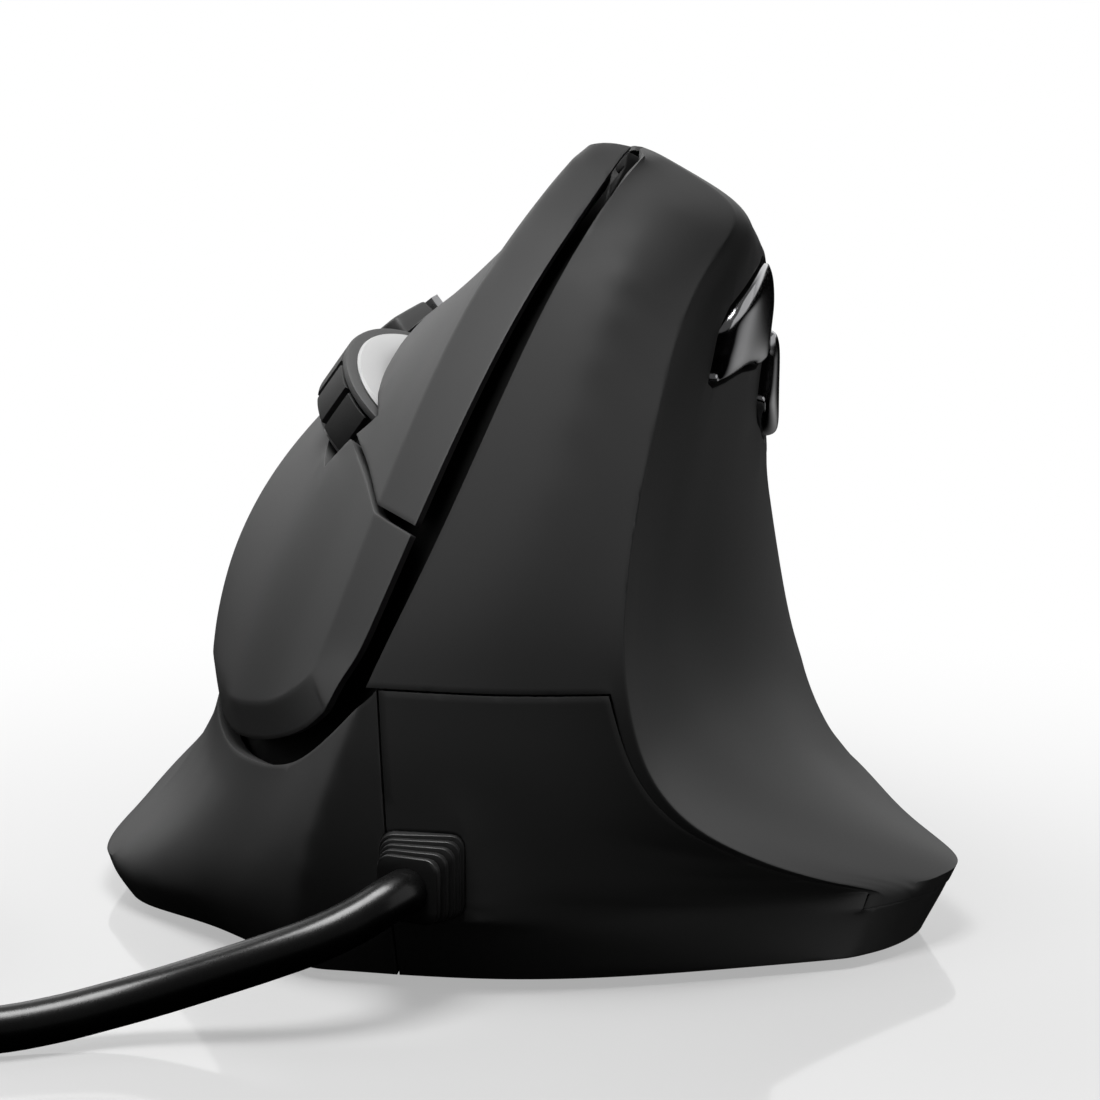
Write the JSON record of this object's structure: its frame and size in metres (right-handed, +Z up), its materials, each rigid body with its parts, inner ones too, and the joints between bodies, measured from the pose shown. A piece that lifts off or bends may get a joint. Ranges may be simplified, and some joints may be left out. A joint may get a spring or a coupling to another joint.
{
  "type": "vertical ergonomic mouse",
  "caption": "Upright ergonomic computer mouse: sloped finger buttons, scroll wheel and DPI key on one side, thumb scoop with side buttons on the other, flared base, cord with a USB plug.",
  "frame": {"origin": "centre of the body box at desk level, under the glide feet", "axes": "+Z up, -Y towards the front end where the cord leaves, +X towards the thumb side"},
  "size_m": [0.1624, 0.1333, 0.0718],
  "materials": {
    "body_shell": "soft-touch matte",
    "cover": "soft-touch matte",
    "groove": "matte",
    "inner_black": "matte",
    "side_button": "dark polished",
    "chrome_trim": "polished",
    "wheel_grey": "satin",
    "tyre_rubber": "matte",
    "encoder_blue": "satin",
    "pcb_green": "satin",
    "chip_black": "matte",
    "lens_clear": "clear",
    "led_red": "clear",
    "connector_white": "satin",
    "ribbon_grey": "satin",
    "cord_black": "satin",
    "relief_black": "satin",
    "steel": "brushed",
    "glide": "satin"
  },
  "bodies": {
    "housing": {"thumb_side_shell": "body_shell", "lower_front_panel": "body_shell", "finger_side_shell": "body_shell", "palm_cover": "cover", "button_frame": "groove", "base_plate": "inner_black", "glide_feet": "glide", "base_screws": "steel", "inner_stand": "inner_black", "upper_pcb": "pcb_green", "left_switch": "chip_black", "right_switch": "chip_black", "middle_switch": "chip_black", "dpi_switch": "chip_black", "side_pcb": "pcb_green", "side_switches": "chip_black", "main_pcb": "pcb_green", "pcb_screws": "steel", "sensor_chip": "chip_black", "sensor_lens": "lens_clear", "sensor_led": "led_red", "controller_chip": "chip_black", "cable_connector": "connector_white", "inner_lead": "cord_black", "ribbon_cable": "ribbon_grey", "strain_relief": "relief_black", "cord": "cord_black", "cord_coil": "cord_black", "cord_tie": "relief_black", "usb_plug_body": "cord_black", "usb_plug_shell": "steel", "usb_plug_tongue": "connector_white"},
    "left_click": {"left_button": "cover"},
    "right_click": {"right_button": "cover"},
    "wheel_carrier": {"wheel_holder": "inner_black", "wheel_encoder": "encoder_blue"},
    "wheel": {"wheel_hub": "wheel_grey", "wheel_tyre": "tyre_rubber"},
    "dpi_key": {"dpi_button": "body_shell", "dpi_trim": "chrome_trim"},
    "forward_key": {"forward_button": "side_button"},
    "back_key": {"back_button": "side_button"}
  },
  "joints": [
    {"name": "left_button_click", "type": "hinge", "parent": "housing", "child": "left_click", "pos_m": [0.00699, 0.00728, 0.05534], "axis": [0.88, -0.0051, 0.475], "range_deg": [0, 0.6], "stiffness_Nm_per_rad": 3, "springref_deg": -0.57},
    {"name": "right_button_click", "type": "hinge", "parent": "housing", "child": "right_click", "pos_m": [-0.0112, 0.00738, 0.04552], "axis": [0.6145, -0.0075, 0.7889], "range_deg": [0, 0.6], "stiffness_Nm_per_rad": 3, "springref_deg": -0.57},
    {"name": "wheel_click", "type": "slide", "parent": "housing", "child": "wheel_carrier", "axis": [0.8319, 0.0783, -0.5494], "range_m": [0, 0.0005], "stiffness_N_per_m": 1400, "springref_m": -0.0003},
    {"name": "wheel_spin", "type": "hinge", "parent": "wheel_carrier", "child": "wheel", "pos_m": [-0.01046, -0.02578, 0.04563], "axis": [0.5401, -0.3416, 0.7691], "continuous": true},
    {"name": "dpi_button_press", "type": "slide", "parent": "housing", "child": "dpi_key", "axis": [0.6086, -0.1409, -0.7808], "range_m": [0, 0.0004], "stiffness_N_per_m": 1500, "springref_m": -0.00024},
    {"name": "forward_button_press", "type": "slide", "parent": "housing", "child": "forward_key", "axis": [-1, 0, 0], "range_m": [0, 0.0004], "stiffness_N_per_m": 1500, "springref_m": -0.00024},
    {"name": "back_button_press", "type": "slide", "parent": "housing", "child": "back_key", "axis": [-1, 0, 0], "range_m": [0, 0.0004], "stiffness_N_per_m": 1500, "springref_m": -0.00024}
  ]
}
